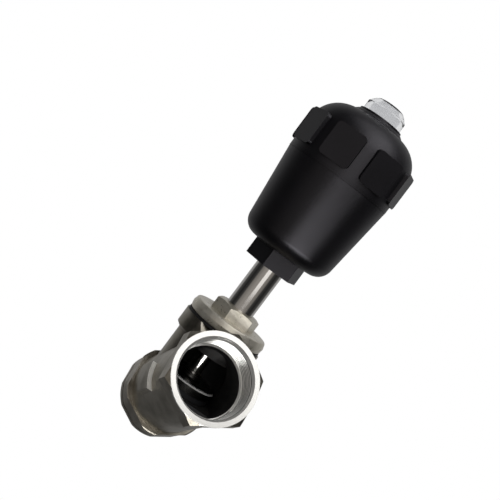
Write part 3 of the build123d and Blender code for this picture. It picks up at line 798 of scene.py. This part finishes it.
# Actuator housing and cover. Glass-filled black nylon with a fine spark-eroded mould texture:
# a cup on the tube, and a screwed cap with flat grips round its skirt.
black_nylon = moulded_surface(
    "black_nylon", (0.0032, 0.0030, 0.0042), roughness=0.42, grain=0.00042, depth=0.000012,
    variation=0.25)
nylon_shader = black_nylon.node_tree.nodes["Principled BSDF"]
nylon_shader.inputs["Specular IOR Level"].default_value = 0.65
nylon_shader.inputs["Specular Tint"].default_value = (0.95, 0.92, 1.0, 1)
station_slack = 0.0004
beyond_shells = 0.060
seam_level = 0.2017
seam_half = 0.00028
seam_depth = 0.0004
seam_start = seam_level - seam_half
seam_stop = seam_level + seam_half
cap_line_start = seam_level + 0.0015
cap_line_stop = seam_level + 0.0019


def stem_ring(start, stop, inner, outer):
    # A ring block about the stem, placed by its stations along it.
    block = ring_block(start, stop, inner, outer)
    along_stem = Matrix((stem_way, stem_side, stem_way.cross(stem_side))).transposed().to_4x4()
    block.transform(Matrix.Translation(crossing) @ along_stem)
    return block


def skin_radius(mesh, level):
    # Outer radius of the mesh's wall close to a station.
    return max(off_stem(vertex.co) for vertex in mesh.vertices
               if abs(up_stem(vertex.co) - level) < station_slack)


def with_grooves(mesh, *grooves):
    # The mesh with shallow grooves cut round it, each from a start to a stop and to a radius.
    rings = [stem_ring(start, stop, radius, beyond_shells) for start, stop, radius in grooves]
    return shaped_mesh(mesh, [(ring, "DIFFERENCE") for ring in rings])


housing_mesh = merged_mesh("lower_housing", crease=32.0)
cover_mesh = merged_mesh("upper_cover", crease=28.0)
housing_wall = skin_radius(housing_mesh, seam_level)
cover_wall = skin_radius(cover_mesh, seam_level)
housing_mesh = with_grooves(housing_mesh, (seam_start, seam_stop, housing_wall - seam_depth))
cover_mesh = with_grooves(
    cover_mesh, (seam_start, seam_stop, cover_wall - seam_depth),
    (cap_line_start, cap_line_stop, cover_wall - seam_depth / 2))
for shell in (housing_mesh, cover_mesh):
    without_slivers(shell)
add_piece("nylon_housing", housing_mesh, "lower_housing", black_nylon)
add_piece("nylon_cover", cover_mesh, "upper_cover", black_nylon)
finish_node("piston", black_nylon)


# Dome and position indicator. A clear polycarbonate cap screwed into the cover, over a white
# moulded button on the rod that shows how far the spindle has moved.
clear, clear_tree, clear_shader = start_material(
    "clear_polycarbonate", (0.70, 0.705, 0.715), roughness=0.02, metallic=0.0)
clear_shader.inputs["Transmission Weight"].default_value = 1.0
clear_shader.inputs["IOR"].default_value = 1.22
clear_waves = noise(clear_tree, object_place(clear_tree), size=0.006, detail=2.0)
clear_haze = spread(clear_tree, clear_waves, low=0.0, high=0.03)
clear_tree.links.new(clear_haze, clear_shader.inputs["Roughness"])
add_piece("clear_dome", merged_mesh("indicator_dome", crease=40.0), "indicator_dome", clear)
white_button = moulded_surface(
    "white_button", (0.74, 0.75, 0.76), roughness=0.35, grain=0.0008, depth=0.00001,
    variation=0.03)
finish_node("position_indicator", white_button)


# Springs. Round stainless wire wound cold, held between washers or plates. The two return
# springs stand in each other over the piston, and each is given a mesh of its own.
coil_steps = 48
wire_steps = 14


def spring_tree():
    # Round wire swept along a helix that stands on its own foot.
    tree, given, out = tree_with("wound_spring", (
        ("Mean Radius", number), ("Wire Radius", number), ("Length", number), ("Turns", number)))
    helix = helix_curve(
        tree, given, given.outputs["Mean Radius"], given.outputs["Length"], coil_steps)
    wire = add_node(tree, "GeometryNodeCurvePrimitiveCircle")
    wire.inputs["Resolution"].default_value = wire_steps
    tree.links.new(given.outputs["Wire Radius"], wire.inputs["Radius"])
    coil = swept_mesh(tree, helix, wire.outputs["Curve"])
    close_tree(tree, coil, spring_wire, out)
    return tree


def reach_up_stem(node):
    # The stations along the stem where the node's mesh begins and stops.
    stations = [up_stem(vertex.co) for vertex in frame["nodes"][node].data.vertices]
    return min(stations), max(stations)


spring_wire = ground_surface("spring_wire", (0.50, 0.49, 0.48), roughness=0.22)
wound = spring_tree()
stem_turn = Matrix((stem_front, stem_side, stem_way)).transposed().to_4x4()
# Node, radius to the middle of the wire, radius of the wire, and turns.
spring_rows = (
    ("packing_spring", 0.0075, 0.0008, 5.0),
    ("outer_return_spring", 0.0250, 0.0022, 5.0),
    ("inner_return_spring", 0.0165, 0.0015, 6.0))
for node, mean_radius, wire_radius, turns in spring_rows:
    low, high = reach_up_stem(node)
    coil = grown_mesh(node + "_coil", bpy.data.meshes.new(node + "_seed"), wound, {
        "Mean Radius": mean_radius, "Wire Radius": wire_radius,
        "Length": high - low - 2 * wire_radius, "Turns": turns})
    foot = crossing + stem_way * (low + wire_radius)
    coil.transform(Matrix.Translation(foot) @ stem_turn)
    for face in coil.polygons:
        face.use_smooth = True
    coil.materials.clear()
    spring = add_piece(node + "_coil", coil, node, spring_wire)
    if node != "packing_spring":
        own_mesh(spring)
